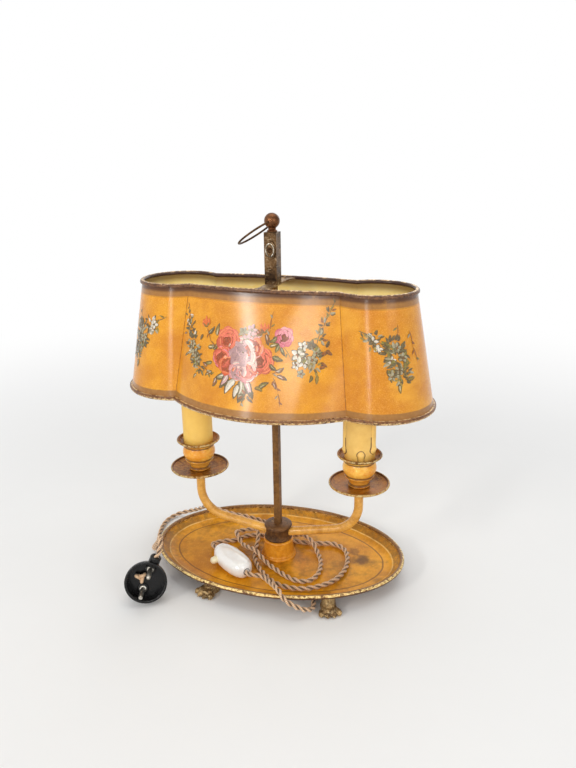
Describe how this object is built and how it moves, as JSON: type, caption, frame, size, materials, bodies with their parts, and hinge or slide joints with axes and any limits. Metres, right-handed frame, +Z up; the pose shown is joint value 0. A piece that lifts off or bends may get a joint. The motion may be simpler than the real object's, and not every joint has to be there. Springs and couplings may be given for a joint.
{
  "type": "two light bouillotte table lamp",
  "caption": "Two-light bouillotte table lamp: painted four-lobed shade sliding on a square stem, candle arms, dished oval tray on paw feet, in-line switch, plug.",
  "frame": {"origin": "on the table under the stem, in the middle of the lamp's own outline", "axes": "+X along the oval tray towards the right light, +Y across it towards the back, +Z up the stem"},
  "size_m": [0.2862, 0.1876, 0.3368],
  "materials": {
    "ochre_tin": "glossy varnished paint",
    "ochre_paint": "glossy varnished paint",
    "gilt_edge": "worn gilt over brown",
    "gilt_foot": "worn cast brass",
    "bronze": "dark patina",
    "brass": "worn brass",
    "steel": "spring steel",
    "candle_card": "matt waxy cream",
    "porcelain": "glazed white ceramic",
    "cream_plastic": "cream moulding",
    "cord_textile": "twisted textile",
    "wire": "covered wire",
    "black_rubber": "soft",
    "bakelite": "polished black moulding",
    "nickel": "worn nickel"
  },
  "bodies": {
    "base": {"tray": "ochre_tin", "tray_rim": "gilt_edge", "foot_front_left": "gilt_foot", "foot_front_right": "gilt_foot", "foot_back_left": "gilt_foot", "foot_back_right": "gilt_foot", "hub": "ochre_paint", "collar": "bronze", "stem": "brass", "stem_washer": "brass", "stem_nut": "brass", "finial": "brass", "arm_left": "bronze", "arm_right": "bronze", "drip_pan_left": "bronze", "drip_pan_right": "bronze", "cup_left": "ochre_paint", "cup_right": "ochre_paint", "bobeche_left": "bronze", "bobeche_right": "bronze", "candle_left": "candle_card", "candle_right": "candle_card", "nipples": "brass", "holder_left": "porcelain", "holder_right": "porcelain", "contact_left": "brass", "contact_right": "brass", "arm_wires": "wire", "grommet": "black_rubber", "lamp_lead": "cord_textile", "main_cord": "cord_textile", "switch_body": "porcelain", "switch_nose": "porcelain", "plug_body": "bakelite", "plug_pins": "nickel", "plug_knot": "cord_textile"},
    "shade": {"shade_wall": "ochre_tin", "shade_top_rim": "gilt_edge", "shade_low_rim": "gilt_edge", "cross_bar": "brass", "bar_rivets": "brass", "sleeve": "brass", "catch_plate": "brass", "catch_spring": "steel"},
    "ring": {"carry_ring": "brass"},
    "catch": {"catch_button": "brass"},
    "push": {"switch_push": "cream_plastic"}
  },
  "joints": [
    {"name": "shade_slide", "type": "slide", "parent": "base", "child": "shade", "axis": [0, 0, -1], "range_m": [0, 0.125]},
    {"name": "ring_swing", "type": "hinge", "parent": "base", "child": "ring", "pos_m": [0, 0, 0.33017], "axis": [0.0872, 0.9962, 0], "range_deg": [-44, 292]},
    {"name": "catch_press", "type": "slide", "parent": "shade", "child": "catch", "axis": [0.0872, 0.9962, 0], "range_m": [0, 0.0004], "stiffness_N_per_m": 800, "springref_m": -0.001},
    {"name": "switch_slide", "type": "slide", "parent": "base", "child": "push", "axis": [0.6157, 0.788, 0], "range_m": [0, 0.0044]}
  ]
}
